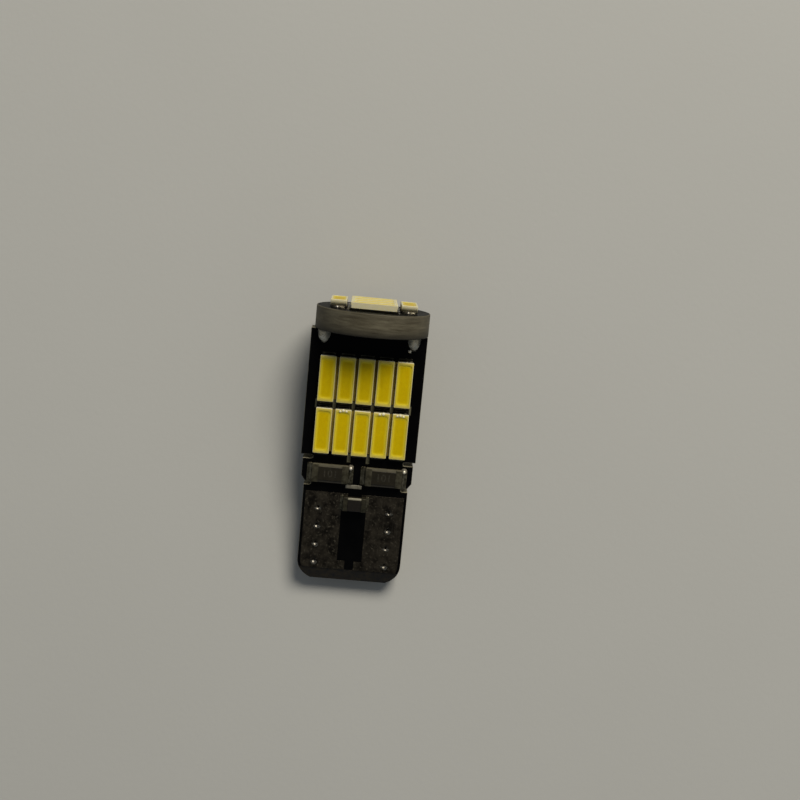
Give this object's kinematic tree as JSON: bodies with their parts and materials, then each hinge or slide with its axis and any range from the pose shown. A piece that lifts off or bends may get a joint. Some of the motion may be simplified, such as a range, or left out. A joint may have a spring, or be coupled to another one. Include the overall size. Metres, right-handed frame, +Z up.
{
  "type": "wedge base led bulb",
  "caption": "Flat two-sided LED bulb on a black circuit board with a round LED board across its top and a tinned wedge base.",
  "frame": {"origin": "on the surface that the bulb lies on, under the middle of its bounding box", "axes": "+Z up, +Y along the bulb from the base end towards the round board, +X across it; the flat board rises towards +Y because the bulb lies on its back"},
  "size_m": [0.0102, 0.0254, 0.0101],
  "materials": {
    "flat_board": "glass-epoxy laminate with black solder mask on both faces, khaki at the cut edges",
    "round_board": "glass-epoxy laminate with black solder mask on its faces, brown at the rim",
    "contact": "hot-tinned copper, dull",
    "led_housing": "white moulded plastic",
    "phosphor": "yellow phosphor in clear resin, smooth",
    "terminal": "silver-plated lead frame",
    "solder": "bright smooth solder",
    "ceramic": "fired white ceramic",
    "overcoat": "black glass overcoat",
    "chip_end": "tin plating",
    "capacitor": "brown fired ceramic"
  },
  "bodies": {
    "root": {"flat_board": "flat_board", "round_board": "round_board", "contact_left": "contact", "contact_right": "contact", "led_front_lower_5": "led_housing", "led_front_lower_4": "led_housing", "led_front_lower_3": "led_housing", "led_front_lower_2": "led_housing", "led_front_lower_1": "led_housing", "led_front_upper_5": "led_housing", "led_front_upper_4": "led_housing", "led_front_upper_3": "led_housing", "led_front_upper_2": "led_housing", "led_front_upper_1": "led_housing", "phosphor_front": "phosphor", "led_terminals_front": "terminal", "led_solder_front": "solder", "led_back_lower_5": "led_housing", "led_back_lower_4": "led_housing", "led_back_lower_3": "led_housing", "led_back_lower_2": "led_housing", "led_back_lower_1": "led_housing", "led_back_upper_5": "led_housing", "led_back_upper_4": "led_housing", "led_back_upper_3": "led_housing", "led_back_upper_2": "led_housing", "led_back_upper_1": "led_housing", "phosphor_back": "phosphor", "led_terminals_back": "terminal", "led_solder_back": "solder", "led_top_middle_4": "led_housing", "led_top_middle_3": "led_housing", "led_top_middle_2": "led_housing", "led_top_middle_1": "led_housing", "phosphor_top_middle": "phosphor", "led_terminals_top_middle": "terminal", "led_solder_top_middle": "solder", "led_top_side_2": "led_housing", "led_top_side_1": "led_housing", "phosphor_top_side": "phosphor", "led_terminals_top_side": "terminal", "led_solder_top_side": "solder", "resistor_front_left": "ceramic", "resistor_front_right": "ceramic", "resistor_coats_front": "overcoat", "resistor_ends_front": "chip_end", "resistor_solder_front": "solder", "resistor_back_left": "ceramic", "resistor_back_right": "ceramic", "resistor_coats_back": "overcoat", "resistor_ends_back": "chip_end", "resistor_solder_back": "solder", "capacitor_body": "capacitor", "capacitor_ends": "chip_end", "capacitor_solder": "solder", "corner_joint_front_left": "solder", "corner_joint_front_right": "solder", "corner_joint_back_left": "solder", "corner_joint_back_right": "solder"}
  },
  "joints": []
}
